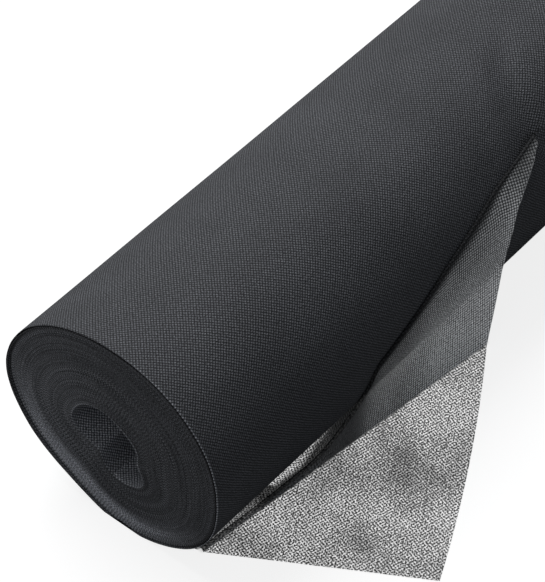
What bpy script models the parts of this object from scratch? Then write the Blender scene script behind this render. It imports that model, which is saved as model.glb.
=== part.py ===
"""A roll of black spunbond geotextile, one corner of its last turn turned back onto the floor.

X runs along the roll and Z is up. The last turn passes under the roll and comes out at -Y.
The origin is on the floor, at the middle of the strip that the roll rests on. Sections of the
sheet are worked out in the Y, Z plane, and angles run from the lowest point towards -Y.
"""

import math

import bmesh
import bpy
import numpy as np

# Driving dimensions, in metres
ROLL_WIDTH = 1.0
ROLL_RADIUS = 0.065
HOLLOW_RADIUS = 0.0215
SHEET_THICKNESS = 0.0008
TURN_GAP = 0.0006
SEAT_GAP = 0.0003
REST_FLAT_DEPTH = 0.0005
FOLD_RADIUS = 0.0012
HANG_CLEARANCE = 0.001
PEEL_REACH = 0.249
FREE_CORNER_REACH = 0.0875
FREE_EDGE_LIFT = 0.205
CREASE_START = 0.0125
FLOOR_OVERRUN = 0.01

# Counts and angles
STEPS_PER_TURN = 24
WINDING_STEPS = 569
WINDING_TURNS = WINDING_STEPS / STEPS_PER_TURN
PEEL_ANGLE = math.radians(7.5)
CUT_ANGLE = math.radians(128)
FOLD_STEPS = 4
WRAP_STEPS = 12
DROP_STEPS = 9

# The outlines of the roll and of its hollow, as shares of their radii, every 30 degrees
OUTLINE_SHARES = (0.99, 0.99, 1.0, 0.985, 1.025, 1.04, 1.01, 0.998, 1.012, 1.04, 0.995, 0.94)
HOLLOW_SHARES = (0.88, 1.09, 1.15, 0.87, 0.98, 0.98, 1.05, 1.06, 1.05, 1.0, 0.6, 0.46)
HOLLOW_CENTRE_SHARES = (0.07, -0.13)

# Where the sheet lies on the floor, as shares of the roll's radius
CREASE_NEAR_SHARE = 0.665
CREASE_FAR_SHARE = 1.045
HUMP_SHARES = (0.035, 0.05, 0.12)
SELVEDGE_SKEW_SHARE = 0.27
CORNER_ALONG_SHARE = 0.365
EDGE_BOW_SHARE = 0.022

# Sections of the peeled turn, as shares of PEEL_REACH
SECTION_SHARES = (
    *(0.0, 0.12, 0.23, 0.32, 0.345, 0.37, 0.385, 0.4, 0.415, 0.43, 0.46, 0.5, 0.55, 0.6),
    *(0.65, 0.7, 0.75, 0.79, 0.82, 0.835, 0.85, 0.865, 0.88, 0.895, 0.91, 0.93, 0.955, 0.985),
)
SLOPE_SHARE = 0.02
HUG_START_SHARE = 0.32
HUG_END_SHARE = 0.43
RIDGE_PLACE_SHARES = (0.0, 0.38, 0.42, 0.66, 0.84, 1.0)
RIDGE_ANGLES = tuple(math.radians(a) for a in (40, 72, 86, 108, 121, 128))
FREE_EDGE_PLACE_SHARES = (0.0, 0.12, 0.3, 0.45, 0.7, 1.0)
FREE_EDGE_RISE_SHARES = (0.0, 0.3, 0.62, 0.74, 0.85, 0.93)


def clear_scene():
    for obj in list(bpy.data.objects):
        bpy.data.objects.remove(obj)


def fabric(name, colour, roughness):
    material = bpy.data.materials.new(name)
    material.use_nodes = True
    shader = material.node_tree.nodes["Principled BSDF"]
    shader.inputs["Base Color"].default_value = (*colour, 1)
    shader.inputs["Roughness"].default_value = roughness
    shader.inputs["Metallic"].default_value = 0
    return material


def add_object(name, mesh, material):
    obj = bpy.data.objects.new(name, mesh)
    bpy.context.scene.collection.objects.link(obj)
    mesh.materials.append(material)
    mesh.shade_smooth()
    mesh.set_sharp_from_angle(angle=math.radians(40))
    return obj


def heading(angle):
    """The direction, in Y and Z, from the roll's axis at this angle."""
    return np.array([-math.sin(angle), -math.cos(angle)])


def closed_share(shares, angle):
    """A smooth closed outline through equally spaced shares."""
    place = (angle / math.tau * len(shares)) % len(shares)
    first = int(place)
    t = place - first
    a, b, c, d = (shares[(first + k) % len(shares)] for k in (-1, 0, 1, 2))
    return b + t / 2 * (c - a + t * (2 * a - 5 * b + 4 * c - d + t * (3 * (b - c) + d - a)))


LOWEST_FACET = ROLL_RADIUS * OUTLINE_SHARES[0] * math.cos(math.pi / STEPS_PER_TURN) - TURN_GAP
AXIS_HEIGHT = LOWEST_FACET - REST_FLAT_DEPTH
AXIS = np.array([0, AXIS_HEIGHT])


def turn_point(turn):
    """A point on the inner face of the winding, this many turns out from the hollow."""
    angle = PEEL_ANGLE + math.tau * (turn - WINDING_TURNS)
    share = turn / (WINDING_TURNS + 1)
    outline = ROLL_RADIUS * closed_share(OUTLINE_SHARES, angle) * heading(angle)
    hollow = HOLLOW_RADIUS * closed_share(HOLLOW_SHARES, angle) * heading(angle)
    hollow += ROLL_RADIUS * np.array(HOLLOW_CENTRE_SHARES)
    return AXIS + (1 - share) * hollow + share * outline


def turn_normal(turn):
    """The normal of the winding's face there, towards the roll's middle."""
    step = 1 / STEPS_PER_TURN
    along = turn_point(turn + step / 2) - turn_point(turn - step / 2)
    normal = np.array([along[1], -along[0]])
    return normal / np.linalg.norm(normal)


def strip_faces():
    """The inner and outer faces of the wound strip, at each step from the hollow outwards."""
    turns = [step / STEPS_PER_TURN for step in range(WINDING_STEPS + 1)]
    inner = [turn_point(turn) for turn in turns]
    outer = [turn_point(turn + 1) + TURN_GAP * turn_normal(turn + 1) for turn in turns]
    return inner, outer


def distance_to_segment(point, start, end):
    along = end - start
    t = np.clip((point - start) @ along / (along @ along), 0, 1)
    return float(np.linalg.norm(point - start - t * along))


def least_gap(inner, outer):
    """The least distance from the outer face to the inner face one turn further out."""
    return min(
        distance_to_segment(outer[k], inner[j], inner[j + 1])
        for k in range(len(outer) - STEPS_PER_TURN - 1)
        for j in range(k + STEPS_PER_TURN - 1, k + STEPS_PER_TURN + 1)
    )


def make_winding(material):
    """The unbroken strip that spirals out from the hollow, flat where it rests."""
    inner, outer = strip_faces()
    print(f"least gap between turns {1000 * least_gap(inner, outer):.2f} mm")
    near = -ROLL_WIDTH / 2
    bm = bmesh.new()
    rows = [[bm.verts.new((near, *point)) for point in face] for face in (inner, outer)]
    for k in range(len(inner) - 1):
        bm.faces.new((rows[0][k], rows[0][k + 1], rows[1][k + 1], rows[1][k]))
    grown = bmesh.ops.extrude_face_region(bm, geom=bm.faces[:])["geom"]
    moved = [item for item in grown if isinstance(item, bmesh.types.BMVert)]
    bmesh.ops.translate(bm, verts=moved, vec=(ROLL_WIDTH, 0, 0))
    bmesh.ops.recalc_face_normals(bm, faces=bm.faces[:])
    mesh = bpy.data.meshes.new("winding")
    bm.to_mesh(mesh)
    bm.free()
    winding = add_object("winding", mesh, material)
    cut = winding.modifiers.new("resting_flat", "BOOLEAN")
    cut.operation = "DIFFERENCE"
    cut.object = make_floor_cutter()
    return winding


def make_floor_cutter():
    """Everything just under the floor."""
    bm = bmesh.new()
    bmesh.ops.create_cube(bm, size=1)
    size = (ROLL_WIDTH + 2 * FLOOR_OVERRUN, 2 * ROLL_RADIUS, FLOOR_OVERRUN)
    bmesh.ops.scale(bm, verts=bm.verts[:], vec=size)
    bmesh.ops.translate(bm, verts=bm.verts[:], vec=(0, 0, -FLOOR_OVERRUN / 2))
    mesh = bpy.data.meshes.new("floor_cutter")
    bm.to_mesh(mesh)
    bm.free()
    cutter = bpy.data.objects.new("floor_cutter", mesh)
    bpy.context.scene.collection.objects.link(cutter)
    cutter.hide_render = True
    cutter.display_type = "WIRE"
    return cutter


def angle_of(point):
    """The angle of a section's point about the roll's axis."""
    return math.atan2(-point[0], AXIS_HEIGHT - point[1])


def seat_radius(angle):
    """The radius of the face that a further turn lies on, at this angle past the peel."""
    return float(np.linalg.norm(turn_point(WINDING_TURNS + (angle - PEEL_ANGLE) / math.tau) - AXIS))


def kept_clear(point, height):
    """The point, moved out to lie at least this far off the winding's face and the floor."""
    angle = max(PEEL_ANGLE, angle_of(point))
    least = seat_radius(angle) + height
    offset = point - AXIS
    if np.linalg.norm(offset) < least:
        point = AXIS + offset * least / np.linalg.norm(offset)
    return np.array([point[0], max(point[1], SHEET_THICKNESS / 2)])


def crease_line():
    """The straight crease on the floor, as its near and far points in X and Y."""
    near = -ROLL_WIDTH / 2
    start = np.array([near + CREASE_START, -CREASE_NEAR_SHARE * ROLL_RADIUS])
    end = np.array([near + FREE_EDGE_LIFT, -CREASE_FAR_SHARE * ROLL_RADIUS])
    return start, end


def skew_at(share):
    """How far a section leans along the roll for each unit that it reaches out."""
    return SELVEDGE_SKEW_SHARE * (1 - share)


def crease_y(share):
    """Where a section crosses the crease."""
    start, end = crease_line()
    slope = (end[1] - start[1]) / (end[0] - start[0])
    place = share * PEEL_REACH - ROLL_WIDTH / 2
    return (start[1] + slope * (place - start[0])) / (1 + slope * skew_at(share))


def floor_path(share):
    """The sheet on the floor, ending upright at a low hump behind the crease."""
    rise = ROLL_RADIUS * float(np.interp(share, (0, 0.16, HUG_END_SHARE), HUMP_SHARES))
    foot = crease_y(share) + SEAT_GAP + SHEET_THICKNESS / 2
    top = foot + 2 * FOLD_RADIUS
    level = SHEET_THICKNESS / 2
    start = AXIS[0] + seat_radius(PEEL_ANGLE) * heading(PEEL_ANGLE)[0] - SEAT_GAP
    flat = np.linspace(start, top + rise, WRAP_STEPS - 4)
    path = [np.array([y, level]) for y in flat]
    for k in range(1, 6):
        turn = math.radians(90) * k / 5
        path.append(np.array([top + rise * (1 - math.sin(turn)), level + rise * (1 - math.cos(turn))]))
    return path


def hugging_path(share):
    """The sheet on the roll, from where it passes under to the ridge."""
    ridge = float(np.interp(share, RIDGE_PLACE_SHARES, RIDGE_ANGLES))
    start = PEEL_ANGLE + SEAT_GAP / ROLL_RADIUS
    height = SHEET_THICKNESS / 2
    angles = np.linspace(start, ridge, WRAP_STEPS + 1)
    return [AXIS + (seat_radius(a) + height) * heading(a) for a in angles]


def wrap_path(share):
    """The outer turn's section, from under the roll to its ridge."""
    t = np.clip((share - HUG_START_SHARE) / (HUG_END_SHARE - HUG_START_SHARE), 0, 1)
    blend = float(t * t * (3 - 2 * t))
    pairs = zip(floor_path(share), hugging_path(share))
    mixed = [(1 - blend) * low + blend * high for low, high in pairs]
    return [kept_clear(point, SHEET_THICKNESS / 2) for point in mixed]


def unit(vector):
    return vector / np.linalg.norm(vector)


def outward(travel):
    """The normal on the left of a section's path, which is its outer side."""
    return np.array([-travel[1], travel[0]])


def kept_outside(point, path, least):
    """The point, moved to lie at least this far outside a section's path."""
    pairs = list(zip(path, path[1:]))
    start, end = min(pairs, key=lambda pair: distance_to_segment(point, *pair))
    along = end - start
    foot = start + along * np.clip((point - start) @ along / (along @ along), 0, 1)
    side = outward(unit(along))
    if (point - foot) @ side < least:
        point = foot + least * side
    return point


def lengths_along(path):
    steps = np.linalg.norm(np.diff(path, axis=0), axis=1)
    return np.concatenate([[0], np.cumsum(steps)])


def resampled(path, count, end):
    """Evenly spaced points along a path, from its start to this length along it."""
    path = np.array(path)
    along = lengths_along(path)
    at = np.linspace(0, end, count + 1)
    return [np.array([np.interp(s, along, path[:, axis]) for axis in (0, 1)]) for s in at]


def free_edge_height(share):
    """How high the free edge has lifted at a section past the crease's far point."""
    start, end = FREE_EDGE_LIFT / PEEL_REACH, 1
    place = (share - start) / (end - start)
    top = AXIS_HEIGHT - ROLL_RADIUS * math.cos(CUT_ANGLE)
    return top * float(np.interp(place, FREE_EDGE_PLACE_SHARES, FREE_EDGE_RISE_SHARES))


def ridge_lean(share):
    """How much longer a step along the ridge is than the same step along the roll."""
    span = SLOPE_SHARE * PEEL_REACH
    change = wrap_path(min(share + SLOPE_SHARE / 2, 1))[-1] - wrap_path(share - SLOPE_SHARE / 2)[-1]
    return math.hypot(1, float(np.linalg.norm(change)) / span)


def drop_path(share):
    """The turned-back sheet's section, over the ridge and down to the crease or free edge."""
    wrap = wrap_path(share)
    lean = ridge_lean(share)
    travel = unit(wrap[-1] - wrap[-2])
    out = outward(travel)
    start = wrap[-1] + lean * lean * SEAT_GAP * travel
    fold = []
    for k in range(FOLD_STEPS + 1):
        turn = math.pi * k / FOLD_STEPS
        reach = out * (1 - math.cos(turn)) + travel * math.sin(turn)
        fold.append(start + lean * FOLD_RADIUS * reach)
    foot = np.array([crease_y(share) + SEAT_GAP + SHEET_THICKNESS / 2, SEAT_GAP])
    straight = [fold[-1] + t * (foot - fold[-1]) for t in np.linspace(0, 1, 4 * DROP_STEPS)]
    apart = lean * (SHEET_THICKNESS + HANG_CLEARANCE)
    down = [kept_clear(point, SHEET_THICKNESS / 2 + apart) for point in straight]
    down = [kept_outside(point, wrap, apart) for point in down]
    down[-1] = foot
    heights = [point[1] for point in down]
    lowest = max(free_edge_height(share), SEAT_GAP)
    end = float(np.interp(-lowest, [-h for h in heights], lengths_along(down)))
    return fold + resampled(down, DROP_STEPS, end)[1:]


def sheet_mesh(name, sections):
    """A surface through sections, each a place along the roll, a skew and a path."""
    bm = bmesh.new()
    rows = []
    for place, skew, path in sections:
        rows.append([bm.verts.new((place - skew * y, y, z)) for y, z in path])
    for near, far in zip(rows, rows[1:]):
        for k in range(len(near) - 1):
            bm.faces.new((near[k], near[k + 1], far[k + 1], far[k]))
    bmesh.ops.recalc_face_normals(bm, faces=bm.faces[:])
    mesh = bpy.data.meshes.new(name)
    bm.to_mesh(mesh)
    bm.free()
    return mesh


def thicken(obj):
    modifier = obj.modifiers.new("sheet_thickness", "SOLIDIFY")
    modifier.thickness = SHEET_THICKNESS
    modifier.offset = 0
    return obj


def section_places():
    return [(share, share * PEEL_REACH - ROLL_WIDTH / 2) for share in SECTION_SHARES]


def make_outer_wrap(material):
    """The last of the sheet under the roll and up its front, as far as the ridge or its cut end."""
    sections = [(x, skew_at(share), wrap_path(share)) for share, x in section_places()]
    for x in (PEEL_REACH - ROLL_WIDTH / 2, ROLL_WIDTH / 2):
        sections.append((x, 0, wrap_path(1)))
    return thicken(add_object("outer_wrap", sheet_mesh("outer_wrap", sections), material))


def make_turned_back_sheet(material):
    """The same sheet turned over at the ridge and hanging to the floor."""
    sections = [(x, skew_at(share), drop_path(share)) for share, x in section_places()]
    mesh = sheet_mesh("turned_back_sheet", sections)
    return thicken(add_object("turned_back_sheet", mesh, material))


def make_tail_flap(material):
    """The free corner that lies on the floor beyond the crease, with its origin on the crease."""
    start, end = crease_line()
    along = end - start
    out = np.array([along[1], -along[0]]) / np.linalg.norm(along)
    corner = start + CORNER_ALONG_SHARE * along + FREE_CORNER_REACH * out
    edge = end - corner
    middle = (corner + end) / 2 + EDGE_BOW_SHARE * np.array([edge[1], -edge[0]])
    bm = bmesh.new()
    outline = [start, corner, middle, end]
    bm.faces.new([bm.verts.new((*(point - start), -SHEET_THICKNESS)) for point in outline])
    grown = bmesh.ops.extrude_face_region(bm, geom=bm.faces[:])["geom"]
    moved = [item for item in grown if isinstance(item, bmesh.types.BMVert)]
    bmesh.ops.translate(bm, verts=moved, vec=(0, 0, SHEET_THICKNESS))
    bmesh.ops.recalc_face_normals(bm, faces=bm.faces[:])
    mesh = bpy.data.meshes.new("tail_flap")
    bm.to_mesh(mesh)
    bm.free()
    flap = add_object("tail_flap", mesh, material)
    flap.location = (*start, SHEET_THICKNESS)
    return flap


def main():
    clear_scene()
    make_winding(fabric("wound_geotextile", (0.038, 0.039, 0.042), 0.85))
    make_outer_wrap(fabric("wrapped_geotextile", (0.042, 0.043, 0.046), 0.85))
    make_turned_back_sheet(fabric("hanging_geotextile", (0.07, 0.07, 0.072), 0.9))
    make_tail_flap(fabric("spread_geotextile", (0.12, 0.12, 0.12), 0.9))


main()
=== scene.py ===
import math

import bmesh
import bpy
import numpy as np
from bpy.props import FloatProperty, FloatVectorProperty, IntProperty, PointerProperty
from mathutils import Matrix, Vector, noise


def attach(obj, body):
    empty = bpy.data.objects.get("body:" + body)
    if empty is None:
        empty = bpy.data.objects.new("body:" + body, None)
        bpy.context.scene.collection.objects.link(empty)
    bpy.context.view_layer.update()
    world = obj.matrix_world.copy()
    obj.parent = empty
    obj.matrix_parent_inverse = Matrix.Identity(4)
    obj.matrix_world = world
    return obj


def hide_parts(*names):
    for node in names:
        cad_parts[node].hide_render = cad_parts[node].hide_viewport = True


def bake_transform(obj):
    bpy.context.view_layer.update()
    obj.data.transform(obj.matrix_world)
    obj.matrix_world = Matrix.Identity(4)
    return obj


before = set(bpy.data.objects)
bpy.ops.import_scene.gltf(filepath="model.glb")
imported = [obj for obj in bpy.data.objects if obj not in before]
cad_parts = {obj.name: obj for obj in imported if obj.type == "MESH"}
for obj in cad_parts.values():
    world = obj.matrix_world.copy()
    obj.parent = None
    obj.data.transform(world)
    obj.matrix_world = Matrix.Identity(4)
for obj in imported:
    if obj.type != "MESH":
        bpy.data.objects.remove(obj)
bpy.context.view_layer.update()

bl_info = {
    "name": "Geotextile Roll",
    "version": (1, 0, 0),
    "blender": (4, 5, 0),
    "location": "3D View > Sidebar > Roll",
    "description": "Dresses a coreless roll of black spunbond geotextile with one corner spread out",
    "category": "Object",
}

# The outlines of the roll and of its hollow, as shares of their radii, every 30 degrees from the
# lowest point towards the spread corner
OUTLINE_SHARES = (0.99, 0.99, 1.0, 0.985, 1.025, 1.04, 1.01, 0.998, 1.012, 1.04, 0.995, 0.94)
HOLLOW_SHARES = (0.88, 1.09, 1.15, 0.87, 0.98, 0.98, 1.05, 1.06, 1.05, 1.0, 0.6, 0.46)
HOLLOW_CENTRE_SHARES = (0.07, -0.13)
# Where the loose turn leaves the winding under the roll, and where its edge was cut
PEEL_ANGLE = math.radians(7.5)
CUT_ANGLE = math.radians(128)
# The winding's outside, as a share of the way from the hollow to the outline
WOUND_SHARE = 0.9875
# A turn fills this share of its step outwards on the end faces
CLOTH_SHARE = 0.9
# The outermost turn's thickness, and the least height of the winding over the floor, in metres
TURN_THICKNESS = 0.0004
FLOOR_GAP = 0.0004
# The far end is uneven like the near one, but this many turns further on
FAR_SHIFT = 0.37
# This many outer turns are left out between the ends, so that the outermost one can sink there, and
# they keep this share of the roll's length at each end
SUNK_TURNS = 9
END_SHARE = 0.03

# The valley from the fold's end over the roll: degrees, and radii from the near end
VALLEY = ((120, 3.82), (130, 3.83), (145, 3.88), (157, 3.97), (172, 4.27), (181, 4.49))
# Its depth, its half widths towards the near end and the far one, and the height of the bulge beyond
# it, in metres
VALLEY_DEPTH = 0.003
VALLEY_HALF_WIDTHS = (0.02, 0.012)
BULGE_HEIGHT = 0.0024

# The loose turn, in metres. Its fold and crease follow the solids under it, but its crease stops 3 mm
# sooner, where its free edge leaves the floor
FOLD_RADIUS = 0.0009
SHEET_LIFT = 0.0004
HANG_CLEARANCE = 0.0016
HANG_SWAY = 0.002
PEEL_REACH = 0.249
SKEW_SHARE = 0.27
CREASE = ((-0.4875, -0.0432), (-0.298, -0.0675))
CREASE_SLOPE = (CREASE[1][1] - CREASE[0][1]) / (CREASE[1][0] - CREASE[0][0])
CORNER_ALONG_SHARE = 0.365
CORNER_REACH = 0.0875
EDGE_BOW = 0.003
FLAP_WAVE = 0.0004
# Along its ridge, from the near end to the tip: the height of the hump behind the crease, where the
# sheet leaves the floor for the roll's side, and the ridge's angle round the roll in degrees
HUMPS = ((0.0, 0.0016), (0.16, 0.0026), (0.32, 0.006), (0.43, 0.0078))
HUG_SHARES = (0.285, 0.43)
RIDGE = ((0.0, 40), (0.38, 72), (0.42, 86), (0.66, 108), (0.84, 121), (1.0, 128))
# The free edge climbs off the floor, steepest past the roll's widest line, then runs flatter to the tip
EDGE_RISE = ((0.0, 0.0), (0.3, 0.44), (0.42, 0.7), (0.5, 0.78), (1.0, 0.98))
EDGE_LIFT_SHARE = 0.7965
# The free edge's painted highlight starts and is full this far from the edge, in metres
EDGE_LINE = (0.0012, 0.001)
# Which way on the flat cloth the hanging sheet runs down from the ridge
FOLDED_WAY = (-0.69, 0.72)
# Where on the flat cloth the spread corner's pattern starts, in radii from the peel
PATTERN_START = 2.23
# The bond points are drawn further apart than 1.3 mm where they would be too fine to show: it is divided
# by these on the spread corner and on the hanging sheet, which the view foreshortens
SPREAD_SCALE = 0.88
HUNG_SCALE = 0.76
# Points closer than this, in metres, are one
NEARLY = 0.00001

# The photo's camera as fitted: millimetres of lens for a 36 mm sensor, its place, and how many degrees
# it looks down and turns
CAMERA_LENS = 159.68
CAMERA_PLACE = (-1.0232, -0.5371, 0.9909)
CAMERA_DOWN, CAMERA_TURN = 47.936, -49.847
# The lamps' names, places, sizes in metres and watts, and where they point
LAMPS = (("top_light", (0.0, 0.95, 1.7), 1.4, 37), ("end_light", (-1.9, 0.2, 0.9), 1.0, 4))
LAMP_AIM = (-0.2, 0, 0)
SKY_STRENGTH = 0.19
# What the floor adds to its own colour for the camera, which brings the pale grey up to white
FLOOR_GLOW = 0.83
# The depth of the floor's painted shadow behind the crease, which narrows and then widens along the
# roll. Each row holds two X places and what is added to the depth at the first and at the second, all in
# metres
PAINTED_SHADOW_STEPS = (
    (-0.448, -0.436, 0.022, 0.0055), (-0.42, -0.377, 0, 0.0125), (-0.377, -0.372, 0, 0.04),
)
# The painted shadow's end leans this much in X for each metre in Y
PAINTED_SHADOW_LEAN = 0.4


def linear(code):
    """The linear values of a colour from its sRGB hex code."""
    parts = [int(code[k:k + 2], 16) / 255 for k in (1, 3, 5)]
    return tuple(v / 12.92 if v <= 0.04045 else ((v + 0.055) / 1.055) ** 2.4 for v in parts)


class RollSettings(bpy.types.PropertyGroup):
    """Sizes and colours of the roll"""

    width: FloatProperty(
        name="Width", description="Length of the roll along its axis", default=1.0, unit="LENGTH",
    )
    radius: FloatProperty(
        name="Radius", description="Radius of the wound roll", default=0.065, unit="LENGTH",
    )
    hollow: FloatProperty(
        name="Hollow", description="Mean radius of the coreless middle", default=0.0215, unit="LENGTH",
    )
    axis_height: FloatProperty(
        name="Axis Height", description="Height of the roll's axis over the floor", default=0.0627,
        unit="LENGTH",
    )
    turns: IntProperty(name="Turns", description="Turns shown on the end faces", default=84)
    bond_pitch: FloatProperty(
        name="Bond Pitch", description="Distance between the sheet's bond points", default=0.0013,
        unit="LENGTH",
    )
    wound_colour: FloatVectorProperty(
        name="Wound Colour", description="Black sheet, many layers deep", subtype="COLOR",
        default=linear("#454649"),
    )
    single_colour: FloatVectorProperty(
        name="Single Colour", description="The same sheet in one layer", subtype="COLOR",
        default=linear("#424242"),
    )
    # A painted highlight: the near-white line along the hanging sheet's free edge
    edge_highlight_colour: FloatVectorProperty(
        name="Edge Highlight Colour", description="The fluffed cut edge of one layer", subtype="COLOR",
        default=linear("#F2F2F2"),
    )


def settings():
    """The sizes and colours that the panel shows."""
    return bpy.context.scene.geotextile_roll


def heading(angle):
    """The direction, in Y and Z, from the roll's axis at this angle."""
    return np.array([-math.sin(angle), -math.cos(angle)])


def closed_share(shares, angle):
    """A smooth closed outline through equally spaced shares."""
    place = (angle / math.tau * len(shares)) % len(shares)
    first = int(place)
    t = place - first
    a, b, c, d = (shares[(first + k) % len(shares)] for k in (-1, 0, 1, 2))
    return b + t / 2 * (c - a + t * (2 * a - 5 * b + 4 * c - d + t * (3 * (b - c) + d - a)))


def between(angle, share):
    """A point this share of the way from the hollow's wall to the roll's outside."""
    s = settings()
    outline = s.radius * closed_share(OUTLINE_SHARES, angle) * heading(angle)
    hollow = s.hollow * closed_share(HOLLOW_SHARES, angle) * heading(angle)
    hollow += s.radius * np.array(HOLLOW_CENTRE_SHARES)
    return np.array([0, s.axis_height]) + (1 - share) * hollow + share * outline


def turn_place(turn):
    """The angle and share of a place this many turns out from the hollow."""
    s = settings()
    return PEEL_ANGLE + math.tau * (turn - s.turns), WOUND_SHARE * turn / (s.turns + 1)


def steps_between(pairs, at):
    """The value at a place on the straight lines through these pairs of place and value."""
    places, values = zip(*pairs)
    return float(np.interp(at, places, values))


def smooth(t):
    """0 up to t = 0 and 1 from t = 1 on, with a soft curve between."""
    t = min(max(t, 0), 1)
    return t * t * (3 - 2 * t)


def bump(t):
    """A round hill, 1 at t = 0 and 0 from 1 out."""
    return (1 - t * t) ** 2 if abs(t) < 1 else 0


def dent(x, angle, share=1):
    """How far the fold's end presses the outside in and lets it stand proud beyond, in metres."""
    s = settings()
    degrees = math.degrees(angle) % 360
    past = x + s.width / 2 - s.radius * steps_between(VALLEY, degrees)
    strength = smooth((degrees - 108) / 16) * (1 - smooth((degrees - 140) / 46))
    before, beyond = VALLEY_HALF_WIDTHS
    groove = -VALLEY_DEPTH * bump(past / (before if past < 0 else beyond))
    rise = BULGE_HEIGHT * smooth(past / 0.035) * (1 - smooth((past - 0.03) / 0.2))
    return strength * (share * groove + rise)


def unevenness(x, angle):
    """The slight slackness of the outer turns, in metres."""
    place = Vector((x * 4, 2 * math.sin(angle), 2 * math.cos(angle)))
    return 0.00035 * noise.noise(place) + 0.00012 * noise.noise(place * 4)


def near_offset(turn):
    """How far a turn's near edge stands out of the end face, in metres."""
    s = settings()
    angle = turn_place(turn)[0]
    fine = 0.00022 * noise.noise(Vector((turn * 1.7, math.sin(angle), math.cos(angle))))
    coarse = 0.0006 * noise.noise(Vector((turn * 0.12, 0.6 * math.sin(angle), 3.1)))
    left = 0.5 - 0.5 * math.sin(angle)
    outer = smooth((turn - s.turns + 3) / 1.5)
    return fine + coarse + outer * (0.0002 + 0.0012 * left)


def edge_tone(turn):
    """How much lighter than the rest, or darker where negative, the cut edge of a turn is painted:
    painted light and shade on the end face, and a random tone from turn to turn.
    """
    s = settings()
    angle = turn_place(turn)[0]
    share = turn / s.turns
    low = max(0, math.cos(angle - math.radians(338))) ** 1.5
    # Painted highlight: a band of turns low on the end face, which stand out and catch the light, is
    # painted lighter
    painted_highlight = 4.0 * bump((share - 0.8) / 0.3) * low
    # Painted light: the left side, which faces the light, is painted lighter
    left = 0.5 * max(0, math.cos(angle - math.radians(265)))
    arcs = 0.55 * noise.noise(Vector((turn * 2.3, math.sin(angle), math.cos(angle))))
    # Painted shade: the outermost turns, which lie back in shade, are painted darker
    rim = 0.6 * smooth((share - 0.955) / 0.02)
    # Painted highlight: the innermost turn, the hollow's lip and wall, is painted much lighter
    inside = 1.9 * (1 - smooth((turn - 0.9) / 0.2))
    return max(-0.7, (1.1 + painted_highlight + left) * (1 + arcs) * (1 - rim) - 1 + inside)


def mesh_object(name, bm, material):
    """A finished piece at the origin, shaded smooth but for its sharp edges."""
    mesh = bpy.data.meshes.new(name)
    bm.to_mesh(mesh)
    bm.free()
    mesh.materials.append(material)
    obj = bpy.data.objects.new(name, mesh)
    bpy.context.scene.collection.objects.link(obj)
    mesh.shade_smooth()
    mesh.set_sharp_from_angle(angle=math.radians(40))
    return obj


def grid_faces(bm, rows, uv_layer, uvs):
    """Quads between rows of vertices, with each corner's place on the flat cloth."""
    for (near, far), (uv_near, uv_far) in zip(zip(rows, rows[1:]), zip(uvs, uvs[1:])):
        for k in range(len(near) - 1):
            corners = (near[k], near[k + 1], far[k + 1], far[k])
            places = (uv_near[k], uv_near[k + 1], uv_far[k + 1], uv_far[k])
            if len(set(corners)) < 4:
                continue
            face = bm.faces.new(corners)
            for loop, place in zip(face.loops, places):
                loop[uv_layer].uv = place


def add(tree, kind, inputs=None, output=0, **values):
    """A node with its settings; inputs are sockets or values, and its output is given back."""
    node = tree.nodes.new(kind)
    for name, value in values.items():
        setattr(node, name, value)
    for name, source in (inputs or {}).items():
        if isinstance(source, bpy.types.NodeSocket):
            tree.links.new(source, node.inputs[name])
        else:
            node.inputs[name].default_value = source
    return node.outputs[output]


def new_material(name):
    """A material with its nodes and its shader."""
    material = bpy.data.materials.new(name)
    material.use_nodes = True
    return material, material.node_tree, material.node_tree.nodes["Principled BSDF"]


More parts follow.
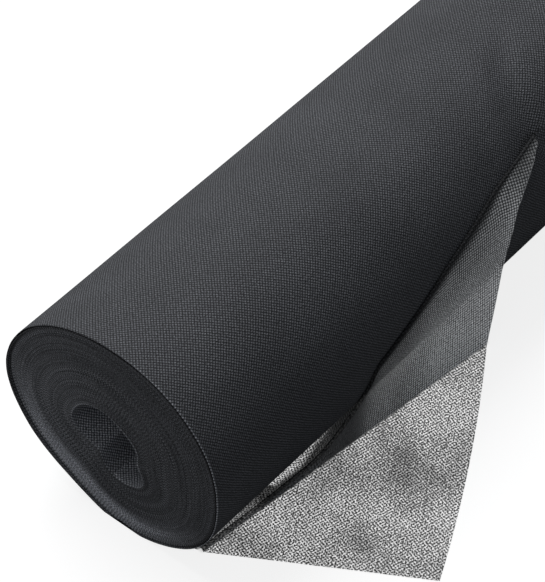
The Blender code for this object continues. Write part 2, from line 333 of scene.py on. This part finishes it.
def spunbond(name, colour, single=None):
    """Spunbond polypropylene: matted fine fibres, pressed flat at a grid of small bond points."""
    s = settings()
    material, tree, shader = new_material(name)
    place = add(tree, "ShaderNodeUVMap", uv_map="cloth")
    # Bond points 1.3 mm apart, on lines at 45 degrees to the selvedge
    turned = add(tree, "ShaderNodeMapping", {"Vector": place, "Rotation": (0, 0, math.radians(45))})
    bond = add(
        tree, "ShaderNodeTexVoronoi", {"Vector": turned, "Scale": 1 / s.bond_pitch, "Randomness": 0.12},
        "Distance", feature="F1", voronoi_dimensions="2D",
    )
    point = add(tree, "ShaderNodeMapRange", {0: bond, 1: 0.2, 2: 0.5, 3: 1, 4: 0})
    # Clumps of fibre about 0.7 mm across, in clouds about 40 mm across
    grain = {"Vector": place, "Roughness": 0.6}
    fibre = add(tree, "ShaderNodeTexNoise", {**grain, "Scale": 1300, "Detail": 2})
    cloud = add(tree, "ShaderNodeTexNoise", {**grain, "Scale": 26, "Detail": 3})
    clump = add(tree, "ShaderNodeMapRange", {0: fibre, 1: 0.3, 2: 0.7, 3: 0.45, 4: 1.55})
    drift = add(tree, "ShaderNodeMapRange", {0: cloud, 1: 0.3, 2: 0.7, 3: 0.9, 4: 1.1})
    tone = add(tree, "ShaderNodeMath", {0: clump, 1: drift}, operation="MULTIPLY")
    pressed = add(tree, "ShaderNodeMapRange", {0: point, 3: 0.4, 4: 2.05})
    # Painted light and shade from the mesh scale the colour: lighter on lit edges and rims, darker over
    # the fold
    painted_light = add(tree, "ShaderNodeAttribute", output="Fac", attribute_name="painted_light")
    painted_light = add(tree, "ShaderNodeMath", {0: painted_light, 1: 1.0}, operation="ADD")
    light = tone
    for factor in (pressed, painted_light):
        light = add(tree, "ShaderNodeMath", {0: light, 1: factor}, operation="MULTIPLY")
    shade = add(tree, "ShaderNodeVectorMath", {0: tuple(colour), "Scale": light}, operation="SCALE")
    shader.inputs["Roughness"].default_value = 0.75
    shader.inputs["IOR"].default_value = 1.49
    shader.inputs["Specular IOR Level"].default_value = 0.2
    # The bond points lie about 0.2 mm under the fibres between them
    height = add(tree, "ShaderNodeMath", {0: point, 1: -2.5, 2: fibre}, operation="MULTIPLY_ADD")
    relief = add(tree, "ShaderNodeBump", {"Height": height, "Strength": 1.0, "Distance": 0.00009})
    tree.links.new(relief, shader.inputs["Normal"])
    if single:
        # One layer is see-through between its fibre clumps, unless the roll lies close behind it
        backed = add(tree, "ShaderNodeAttribute", output="Fac", attribute_name="backed")
        edge = add(tree, "ShaderNodeAttribute", output="Fac", attribute_name="edge")
        # Where it hangs, the light that comes through it is painted into its colour, most of all at the
        # bond points
        hung = add(tree, "ShaderNodeAttribute", output="Fac", attribute_name="hung")
        through = add(tree, "ShaderNodeMath", {0: point, 1: 25.0, 2: 2.0}, operation="MULTIPLY_ADD")
        through = add(tree, "ShaderNodeMath", {0: through, 1: hung, 2: 1.0}, operation="MULTIPLY_ADD")
        thinner = add(tree, "ShaderNodeMapRange", {0: cloud, 1: 0.35, 2: 0.65, 3: 1.3, 4: 0.75})
        light = tone
        for factor in (through, thinner, painted_light):
            light = add(tree, "ShaderNodeMath", {0: light, 1: factor}, operation="MULTIPLY")
        thin = add(tree, "ShaderNodeVectorMath", {0: tuple(single), "Scale": light}, operation="SCALE")
        shade = add(tree, "ShaderNodeMix", {0: backed, 6: thin, 7: shade}, 2, data_type="RGBA")
        # Painted highlight: a near-white line along the free edge
        cut = (*s.edge_highlight_colour, 1)
        shade = add(tree, "ShaderNodeMix", {0: edge, 6: shade, 7: cut}, 2, data_type="RGBA")
        gap = add(tree, "ShaderNodeMapRange", {0: fibre, 1: 0.42, 2: 0.58, 3: 0.05, 4: 1.1})
        for limits in (
            {0: cloud, 1: 0.35, 2: 0.65, 3: 1.45, 4: 0.55},
            {0: point, 3: 1, 4: 0.03},
            {0: backed, 3: 1, 4: 0},
            {0: edge, 3: 1, 4: 0},
            {0: hung, 3: 1, 4: 0.06},
        ):
            left = add(tree, "ShaderNodeMapRange", limits)
            gap = add(tree, "ShaderNodeMath", {0: gap, 1: left}, operation="MULTIPLY")
        solid = add(tree, "ShaderNodeMath", {0: 1.0, 1: gap}, operation="SUBTRACT", use_clamp=True)
        tree.links.new(solid, shader.inputs["Alpha"])
    tree.links.new(shade, shader.inputs["Base Color"])
    return material


class ROLL_OT_wound_turns(bpy.types.Operator):
    """Wind the turns that show on the end faces and in the hollow"""

    bl_idname = "roll.wound_turns"
    bl_label = "Wound Turns"

    def execute(self, context):
        s = settings()
        per_turn = 90
        bm = bmesh.new()
        uv_layer = bm.loops.layers.uv.new("cloth")
        painted_light = bm.verts.layers.float.new("painted_light")
        full = s.turns - SUNK_TURNS
        sunk = (full, s.turns - 1)
        # The first and last turn of each strip, and the shares of the roll's length that it covers
        strips = ((0, full, 0, 1), (*sunk, 0, END_SHARE), (*sunk, 1 - END_SHARE, 1))
        for first, last, start, end in strips:
            ends, uvs = [], []
            travelled, before = 0, None
            for step in range(first * per_turn, last * per_turn + 1):
                turn = step / per_turn
                angle, share = turn_place(turn)
                inner = between(angle, share)
                outer = between(angle, turn_place(turn + CLOTH_SHARE)[1])
                inner[1], outer[1] = max(inner[1], FLOOR_GAP), max(outer[1], FLOOR_GAP)
                travelled += 0 if before is None else float(np.linalg.norm(inner - before))
                before = inner
                front = -s.width / 2 - near_offset(turn)
                length = s.width / 2 + near_offset(turn + FAR_SHIFT) - front
                near, far = front + start * length, front + end * length
                ring = [bm.verts.new(point) for point in (
                    (near, *inner), (near, *outer), (far, *outer), (far, *inner),
                )]
                for vert in ring:
                    # Painted light and shade on the turns' cut edges
                    vert[painted_light] = edge_tone(turn)
                ends.append(ring + ring[:1])
                across = (near, near - float(np.linalg.norm(outer - inner)), far, far, near)
                uvs.append([(u, travelled) for u in across])
            grid_faces(bm, ends, uv_layer, uvs)
            for ring in (ends[0], ends[-1]):
                bm.faces.new(ring[:4])
        bmesh.ops.recalc_face_normals(bm, faces=bm.faces[:])
        turns = mesh_object("wound_turns", bm, spunbond("spunbond_wound", s.wound_colour))
        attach(turns, "roll")
        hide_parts("winding")
        return {"FINISHED"}


class ROLL_OT_outermost_turn(bpy.types.Operator):
    """Wind the outermost turn, with the dent where the fold ends"""

    bl_idname = "roll.outermost_turn"
    bl_label = "Outermost Turn"

    def execute(self, context):
        s = settings()
        around = 160
        # Closer together at the dent, with one column just inside the near edge's painted highlight
        columns = sorted({*np.linspace(0, 1, 70), *np.linspace(0.2, 0.36, 64), 0.0009})
        bm = bmesh.new()
        uv_layer = bm.loops.layers.uv.new("cloth")
        painted_light = bm.verts.layers.float.new("painted_light")
        rows, uvs = [], []
        travelled, last = 0, None
        for k in range(around + 1):
            turn = s.turns - 1 + k / around
            angle, share = turn_place(turn + 1)
            base = between(angle, share)
            travelled += 0 if last is None else float(np.linalg.norm(base - last))
            last = base
            near = -s.width / 2 - near_offset(turn)
            far = s.width / 2 + near_offset(turn + FAR_SHIFT)
            row, row_uv = [], []
            for column in columns:
                x = near + (far - near) * column
                lift = dent(x, angle) + unevenness(x, angle)
                y, z = base + lift * heading(angle)
                row.append(bm.verts.new((x, y, max(z, FLOOR_GAP))))
                row_uv.append((x, travelled))
            # Painted highlight along the near edge, strongest on the front side
            row[0][painted_light] = 2.4 * max(0, math.sin(angle)) ** 0.5
            rows.append(row)
            uvs.append(row_uv)
        grid_faces(bm, rows, uv_layer, uvs)
        bmesh.ops.recalc_face_normals(bm, faces=bm.faces[:])
        outermost = mesh_object("outermost_turn", bm, bpy.data.materials["spunbond_wound"])
        outermost.data.flip_normals()
        wall = outermost.modifiers.new("thickness", "SOLIDIFY")
        wall.thickness = TURN_THICKNESS
        wall.offset = -1
        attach(outermost, "roll")
        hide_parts("winding")
        return {"FINISHED"}


def skew_at(share):
    """How far a section leans along the roll for each metre in Y."""
    return SKEW_SHARE * (1 - min(share, 1))


def crease_at(share):
    """Where a section crosses the crease, in Y."""
    x0, y0 = CREASE[0]
    place = share * PEEL_REACH - settings().width / 2
    return (y0 + CREASE_SLOPE * (place - x0)) / (1 + CREASE_SLOPE * skew_at(share))


def outside_point(angle, lift):
    """A point this far off the roll's outside."""
    s = settings()
    share = WOUND_SHARE * (s.turns + (angle - PEEL_ANGLE) / math.tau) / (s.turns + 1)
    point = between(angle, share)
    return point + lift * heading(angle)


def kept_clear(point, lift):
    """The point, moved out to lie at least this far off the roll and the floor."""
    axis = np.array([0, settings().axis_height])
    angle = max(PEEL_ANGLE, math.atan2(-point[0], axis[1] - point[1]))
    least = float(np.linalg.norm(outside_point(angle, lift) - axis))
    offset = point - axis
    if np.linalg.norm(offset) < least:
        point = axis + offset * least / np.linalg.norm(offset)
    return np.array([point[0], max(point[1], SHEET_LIFT)])


def resampled(path, count):
    """This many even steps along a path."""
    path = np.array(path)
    along = np.concatenate([[0], np.cumsum(np.linalg.norm(np.diff(path, axis=0), axis=1))])
    at = np.linspace(0, along[-1], count + 1)
    return [np.array([np.interp(v, along, path[:, axis]) for axis in (0, 1)]) for v in at]


def wrap_path(share, count):
    """The loose turn's section from under the roll to its ridge."""
    share = min(share, 1)
    rise = steps_between(HUMPS, share)
    top = crease_at(share) + 2 * FOLD_RADIUS + SHEET_LIFT
    start = outside_point(PEEL_ANGLE, SHEET_LIFT)[0]
    laid, bent = 40, 12
    low = [np.array([start + (top + rise - start) * k / laid, SHEET_LIFT]) for k in range(laid + 1)]
    for k in range(1, bent + 1):
        turn = math.radians(90) * k / bent
        over, up = rise * (1 - math.sin(turn)), rise * (1 - math.cos(turn))
        low.append(np.array([top + over, SHEET_LIFT + up]))
    low = resampled(low, count)
    ridge = math.radians(steps_between(RIDGE, share))
    angles = [PEEL_ANGLE + (ridge - PEEL_ANGLE) * k / count for k in range(count + 1)]
    high = [outside_point(angle, SHEET_LIFT) for angle in angles]
    leaves, hugs = HUG_SHARES
    blend = smooth((share - leaves) / (hugs - leaves))
    return [kept_clear((1 - blend) * a + blend * b, SHEET_LIFT) for a, b in zip(low, high)]


def edge_height(share):
    """How high the free edge has lifted at a section past the crease's far end."""
    s = settings()
    top = s.axis_height - s.radius * math.cos(CUT_ANGLE)
    return top * steps_between(EDGE_RISE, (share - EDGE_LIFT_SHARE) / (1 - EDGE_LIFT_SHARE))


def drop_path(share, wrap, folds, count):
    """The fold over the ridge and the sheet that hangs from it to the crease or free edge."""
    travel = wrap[-1] - wrap[-2]
    travel /= np.linalg.norm(travel)
    out = np.array([-travel[1], travel[0]])
    path = []
    for k in range(1, folds + 1):
        turn = math.pi * k / folds
        path.append(wrap[-1] + FOLD_RADIUS * (out * (1 - math.cos(turn)) + travel * math.sin(turn)))
    foot = np.array([crease_at(share), SHEET_LIFT])
    sway = HANG_SWAY * math.sin(math.pi * smooth(share))
    down = []
    for t in np.linspace(0, 1, 121):
        point = path[-1] + t * (foot - path[-1])
        point[0] += sway * math.sin(math.pi * t)
        down.append(kept_clear(point, HANG_CLEARANCE) if t < 0.96 else point)
    lowest = max(edge_height(share), SHEET_LIFT)
    kept = [point for point in down if point[1] >= lowest - NEARLY]
    kept = kept if len(kept) > 1 else down[:2]
    hang = resampled(kept, count)[1:]
    step = hang[-1] - hang[-2]
    insets = [hang[-1] - step * min(0.5, width / np.linalg.norm(step)) for width in EDGE_LINE]
    return path + hang[:-1] + insets + [hang[-1]]


class ROLL_OT_loose_turn(bpy.types.Operator):
    """Lay the loose turn: up the roll, over the ridge, down to the crease and out on the floor"""

    bl_idname = "roll.loose_turn"
    bl_label = "Loose Turn"

    def execute(self, context):
        s = settings()
        wraps, folds, drops, spreads = 40, 6, 28, 40
        shares = sorted({*np.linspace(0, 1, 90), *np.linspace(0.32, 0.46, 20), EDGE_LIFT_SHARE})
        crease_start, crease_end = (np.array(point) for point in CREASE)
        along = crease_end - crease_start
        out = np.array([along[1], -along[0]]) / np.linalg.norm(along)
        corner = crease_start + CORNER_ALONG_SHARE * along + CORNER_REACH * out
        edge = float(np.linalg.norm(crease_end - corner))
        edge_way = (crease_end - corner) / edge
        edge_normal = np.array([edge_way[1], -edge_way[0]])
        pattern_start = PATTERN_START * s.radius

        def on_cloth(point):
            """Where a point of the spread corner lies on the flat cloth."""
            u, v = (point - corner) @ edge_way, (point - corner) @ edge_normal
            return SPREAD_SCALE * u, pattern_start + SPREAD_SCALE * v

        bm = bmesh.new()
        uv_layer = bm.loops.layers.uv.new("cloth")
        backed = bm.verts.layers.float.new("backed")
        edge_line = bm.verts.layers.float.new("edge")
        hung = bm.verts.layers.float.new("hung")
        painted_light = bm.verts.layers.float.new("painted_light")
        wrap_rows, wrap_uvs, drop_rows, drop_uvs, flap_rows, flap_uvs = [], [], [], [], [], []
        for share in shares:
            place = share * PEEL_REACH - s.width / 2
            skew = skew_at(share)
            wrap = wrap_path(share, wraps)
            lengths = np.concatenate([[0], np.cumsum(np.linalg.norm(np.diff(wrap, axis=0), axis=1))])
            row = [bm.verts.new((place - skew * y, y, z)) for y, z in wrap]
            for vert in row[:-1]:
                vert[backed] = smooth((share - 0.47) / 0.05)
                vert[hung] = 0.8 * bump((share - 0.4) / 0.09)
            wrap_rows.append(row)
            wrap_uvs.append([(share * PEEL_REACH, length) for length in lengths])
            drop = drop_path(share, wrap, folds, drops)
            end_y = drop[-1][0]
            foot = np.array([place - skew * end_y, end_y])
            t = min(max((foot[0] - crease_start[0]) / along[0], 0), 1)
            at_ridge = np.array([share * PEEL_REACH, lengths[-1]])
            steps = np.linalg.norm(np.diff([wrap[-1], *drop], axis=0), axis=1)
            hang_places = [at_ridge + length * np.array(FOLDED_WAY) for length in (0, *np.cumsum(steps))]
            drop_row = [row[-1]] + [bm.verts.new((place - skew * y, y, z)) for y, z in drop]
            # The low part has the roll close behind it; past it the light that comes through is painted
            # into its colour, but less at the tip
            low = 1 - smooth((share - 0.38) / 0.08)
            glow = 0.75 + 0.45 * smooth((share - 0.5) / 0.15)
            glow *= 1 - 0.55 * smooth((share - 0.84) / 0.1)
            for k, vert in enumerate(drop_row):
                vert[backed] = 0.7 * low + (1 - low) * (1 - smooth((k - folds) / 2))
                vert[hung] = 0.3 * low + (1 - low) * glow * (0.45 + 0.55 * smooth((k - folds) / 22))
                # Painted shade over the fold, which keeps its lit top dark
                vert[painted_light] = -0.75 * (1 - smooth((k - folds) / 3)) if k else -0.4
            drop_row[-1][backed] = 0
            drop_row[-1][hung] *= smooth((share - EDGE_LIFT_SHARE) / 0.02)
            if share > EDGE_LIFT_SHARE:
                # The last two rows carry the free edge's painted highlight
                drop_row[-1][edge_line] = drop_row[-2][edge_line] = 1
            drop_rows.append(drop_row)
            drop_uvs.append([tuple(HUNG_SCALE * place) for place in hang_places])
            if share <= EDGE_LIFT_SHARE + NEARLY:
                bowed = corner + t * (crease_end - corner) + 4 * EDGE_BOW * t * (1 - t) * edge_normal
                flap_row, flap_uv = [drop_row[-1]], [on_cloth(foot)]
                for k in range(1, spreads + 1):
                    point = foot + k / spreads * (bowed - foot)
                    wave = FLAP_WAVE * noise.noise(Vector((*(point * 30), 5))) * bump(k / spreads - 0.5)
                    flap_row.append(bm.verts.new((*point, SHEET_LIFT + max(wave, 0))))
                    flap_uv.append(on_cloth(point))
                flap_rows.append(flap_row)
                flap_uvs.append(flap_uv)
        tip = PEEL_REACH - s.width / 2
        for x in sorted({*np.linspace(tip, tip + 0.12, 50), *np.linspace(tip, s.width / 2, 40)})[1:]:
            row, row_uv = [], []
            hold = smooth((x - tip) / 0.025)
            for k in range(wraps + 1):
                angle = PEEL_ANGLE + (CUT_ANGLE - PEEL_ANGLE) * k / wraps
                y, z = outside_point(angle, SHEET_LIFT + dent(x, angle, hold) + unevenness(x, angle))
                row.append(bm.verts.new((x, y, max(z, SHEET_LIFT))))
                row[-1][backed] = 1
                row_uv.append((x + s.width / 2, s.radius * (angle - PEEL_ANGLE)))
            wrap_rows.append(row)
            wrap_uvs.append(row_uv)
        grid_faces(bm, wrap_rows, uv_layer, wrap_uvs)
        grid_faces(bm, drop_rows, uv_layer, drop_uvs)
        grid_faces(bm, flap_rows, uv_layer, flap_uvs)
        bmesh.ops.remove_doubles(bm, verts=bm.verts[:], dist=NEARLY)
        bmesh.ops.recalc_face_normals(bm, faces=bm.faces[:])
        single = spunbond("spunbond_single", s.wound_colour, s.single_colour)
        loose = mesh_object("loose_turn", bm, single)
        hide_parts("outer_wrap", "turned_back_sheet", "tail_flap")
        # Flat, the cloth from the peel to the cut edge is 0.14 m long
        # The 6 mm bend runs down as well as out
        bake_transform(loose)
        return {"FINISHED"}


class ROLL_OT_stage(bpy.types.Operator):
    """Set the white floor, the soft lights and the camera"""

    bl_idname = "roll.stage"
    bl_label = "Stage"

    def execute(self, context):
        scene = context.scene
        bpy.ops.object.select_all(action="DESELECT")
        bpy.ops.mesh.primitive_plane_add(size=8, location=(0, 0, 0))
        floor = context.object
        floor.name = "floor"
        floor.data.materials.append(floor_material())
        world = bpy.data.worlds.new("studio")
        scene.world = world
        world.use_nodes = True
        sky = world.node_tree
        camera_ray = add(sky, "ShaderNodeLightPath", output="Is Camera Ray")
        level = add(sky, "ShaderNodeMapRange", {0: camera_ray, 3: SKY_STRENGTH, 4: 1})
        cool, white = (*linear("#F2F8FF"), 1), (1, 1, 1, 1)
        tint = add(sky, "ShaderNodeMix", {0: camera_ray, 6: cool, 7: white}, 2, data_type="RGBA")
        back = sky.nodes["Background"]
        sky.links.new(tint, back.inputs["Color"])
        sky.links.new(level, back.inputs["Strength"])
        for name, place, size, power in LAMPS:
            lamp = bpy.data.lights.new(name, "AREA")
            lamp.size = size
            lamp.energy = power
            holder = bpy.data.objects.new(name, lamp)
            holder.location = place
            aim = Vector(LAMP_AIM) - Vector(place)
            holder.rotation_euler = aim.to_track_quat("-Z", "Y").to_euler()
            scene.collection.objects.link(holder)
        camera = bpy.data.cameras.new("camera")
        camera.lens = CAMERA_LENS
        camera.sensor_width = 36
        camera.sensor_fit = "AUTO"
        eye = bpy.data.objects.new("camera", camera)
        eye.location = CAMERA_PLACE
        eye.rotation_euler = (math.radians(90 - CAMERA_DOWN), 0, math.radians(CAMERA_TURN))
        scene.collection.objects.link(eye)
        scene.camera = eye
        scene.view_settings.view_transform = "Standard"
        return {"FINISHED"}


def floor_material():
    """White paper floor, with a painted shadow in the narrow space behind the hanging sheet, where its
    glow for the camera is taken away.
    """
    material, tree, shader = new_material("white_floor")
    shader.inputs["Base Color"].default_value = (*linear("#8C8C8C"), 1)
    shader.inputs["Roughness"].default_value = 0.9
    shader.inputs["Specular IOR Level"].default_value = 0
    place = add(tree, "ShaderNodeTexCoord", output="Object")
    x = add(tree, "ShaderNodeSeparateXYZ", {"Vector": place}, "X")
    y = add(tree, "ShaderNodeSeparateXYZ", {"Vector": place}, "Y")
    (x0, y0), (x1, y1) = CREASE
    at_zero = y0 - CREASE_SLOPE * x0
    line = add(tree, "ShaderNodeMath", {0: x, 1: CREASE_SLOPE, 2: at_zero}, operation="MULTIPLY_ADD")
    inside = add(tree, "ShaderNodeMath", {0: y, 1: line}, operation="SUBTRACT")
    depth = 0
    for first, last, at_first, at_last in PAINTED_SHADOW_STEPS:
        deeper = add(tree, "ShaderNodeMapRange", {0: x, 1: first, 2: last, 3: at_first, 4: at_last})
        depth = add(tree, "ShaderNodeMath", {0: depth, 1: deeper}, operation="ADD")
    past = add(tree, "ShaderNodeMath", {0: inside, 1: depth}, operation="SUBTRACT")
    edge = add(tree, "ShaderNodeMath", {0: y, 1: -PAINTED_SHADOW_LEAN, 2: x}, operation="MULTIPLY_ADD")
    painted_shadow_end = x1 - PAINTED_SHADOW_LEAN * y1
    # Painted shadow: the floor's glow is taken away behind the crease
    dark = add(tree, "ShaderNodeMapRange", {0: inside, 1: -0.0005, 2: 0.001, 3: 0, 4: 1})
    # Its other three edges are soft too, and the painted shadow is lighter at both ends of the crease
    for limits in (
        {0: past, 1: 0, 2: 0.003, 3: 1, 4: 0},
        {0: x, 1: x0 - 0.002, 2: x0 + 0.001, 3: 0, 4: 1},
        {0: edge, 1: painted_shadow_end - 0.003, 2: painted_shadow_end + 0.003, 3: 1, 4: 0},
        {0: x, 1: -0.38, 2: -0.3, 3: 1, 4: 0.7},
        {0: x, 1: -0.455, 2: -0.445, 3: 0.55, 4: 0.9},
    ):
        strength = add(tree, "ShaderNodeMapRange", limits)
        dark = add(tree, "ShaderNodeMath", {0: dark, 1: strength}, operation="MULTIPLY")
    camera_ray = add(tree, "ShaderNodeLightPath", output="Is Camera Ray")
    lit = add(tree, "ShaderNodeMapRange", {0: dark, 3: FLOOR_GLOW, 4: 0})
    glow = add(tree, "ShaderNodeMath", {0: camera_ray, 1: lit}, operation="MULTIPLY")
    shader.inputs["Emission Color"].default_value = (1, 1, 1, 1)
    tree.links.new(glow, shader.inputs["Emission Strength"])
    return material


class ROLL_PT_panel(bpy.types.Panel):
    """The roll's pieces, in the order they are made"""

    bl_idname = "ROLL_PT_panel"
    bl_label = "Geotextile Roll"
    bl_space_type = "VIEW_3D"
    bl_region_type = "UI"
    bl_category = "Roll"

    def draw(self, context):
        for name in RollSettings.__annotations__:
            self.layout.prop(context.scene.geotextile_roll, name)
        for operator in OPERATORS:
            self.layout.operator(operator.bl_idname)


OPERATORS = (ROLL_OT_wound_turns, ROLL_OT_outermost_turn, ROLL_OT_loose_turn, ROLL_OT_stage)


def register():
    for cls in (RollSettings, *OPERATORS, ROLL_PT_panel):
        bpy.utils.register_class(cls)
    bpy.types.Scene.geotextile_roll = PointerProperty(type=RollSettings)


def unregister():
    del bpy.types.Scene.geotextile_roll
    for cls in reversed((RollSettings, *OPERATORS, ROLL_PT_panel)):
        bpy.utils.unregister_class(cls)


def main():
    register()
    bpy.ops.roll.wound_turns()
    bpy.ops.roll.outermost_turn()
    bpy.ops.roll.loose_turn()
    bpy.ops.roll.stage()


if __name__ == "__main__":
    main()
